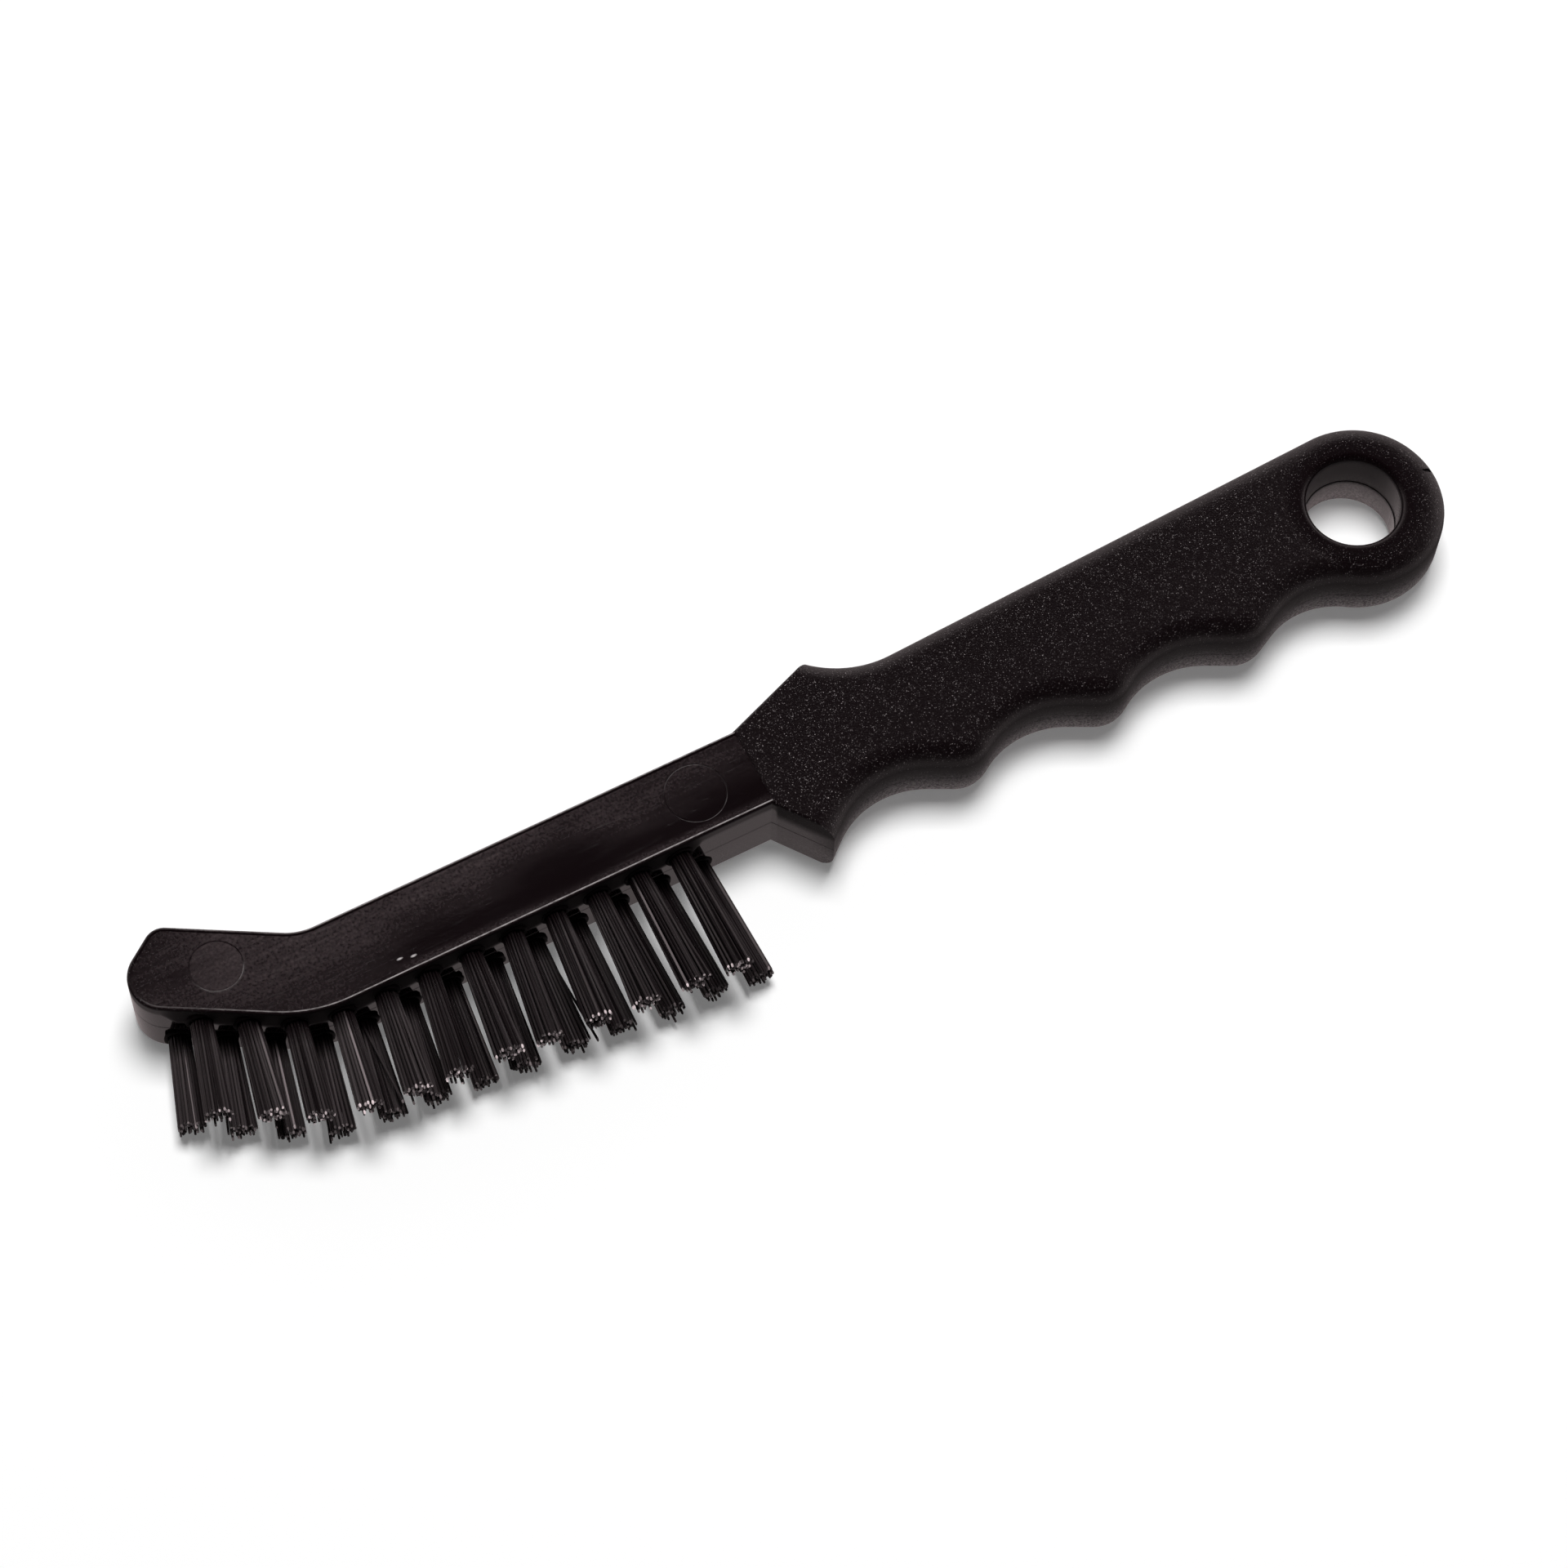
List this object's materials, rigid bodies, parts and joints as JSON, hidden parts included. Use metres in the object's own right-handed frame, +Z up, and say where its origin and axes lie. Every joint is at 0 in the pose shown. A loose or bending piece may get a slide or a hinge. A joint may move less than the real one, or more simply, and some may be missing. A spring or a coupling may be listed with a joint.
{
  "type": "grill brush",
  "caption": "Flat moulded grill brush with a kinked bristle head, a grip with finger grooves and a hanging hole at the end.",
  "frame": {"origin": "on the underside, on the head's centre line, where the head meets the grip", "axes": "+X along the handle towards the hanging hole, -Y the way the bristles point, +Z up through the thickness of the brush, which lies flat on its side"},
  "size_m": [0.2317, 0.047, 0.014],
  "materials": {
    "handle": "black moulded plastic, satin on the head and finely grained on the grip",
    "filament": "black nylon-like filament, trimmed ends slightly lighter",
    "anchor": "flat drawn wire"
  },
  "bodies": {
    "root": {"handle": "handle", "tuft_lower_01": "filament", "tuft_lower_02": "filament", "tuft_lower_03": "filament", "tuft_lower_04": "filament", "tuft_lower_05": "filament", "tuft_lower_06": "filament", "tuft_lower_07": "filament", "tuft_lower_08": "filament", "tuft_lower_09": "filament", "tuft_lower_10": "filament", "tuft_lower_11": "filament", "tuft_lower_12": "filament", "tuft_lower_13": "filament", "tuft_upper_01": "filament", "tuft_upper_02": "filament", "tuft_upper_03": "filament", "tuft_upper_04": "filament", "tuft_upper_05": "filament", "tuft_upper_06": "filament", "tuft_upper_07": "filament", "tuft_upper_08": "filament", "tuft_upper_09": "filament", "tuft_upper_10": "filament", "tuft_upper_11": "filament", "tuft_upper_12": "filament", "anchor_lower_01": "anchor", "anchor_lower_02": "anchor", "anchor_lower_03": "anchor", "anchor_lower_04": "anchor", "anchor_lower_05": "anchor", "anchor_lower_06": "anchor", "anchor_lower_07": "anchor", "anchor_lower_08": "anchor", "anchor_lower_09": "anchor", "anchor_lower_10": "anchor", "anchor_lower_11": "anchor", "anchor_lower_12": "anchor", "anchor_lower_13": "anchor", "anchor_upper_01": "anchor", "anchor_upper_02": "anchor", "anchor_upper_03": "anchor", "anchor_upper_04": "anchor", "anchor_upper_05": "anchor", "anchor_upper_06": "anchor", "anchor_upper_07": "anchor", "anchor_upper_08": "anchor", "anchor_upper_09": "anchor", "anchor_upper_10": "anchor", "anchor_upper_11": "anchor", "anchor_upper_12": "anchor"}
  },
  "joints": []
}
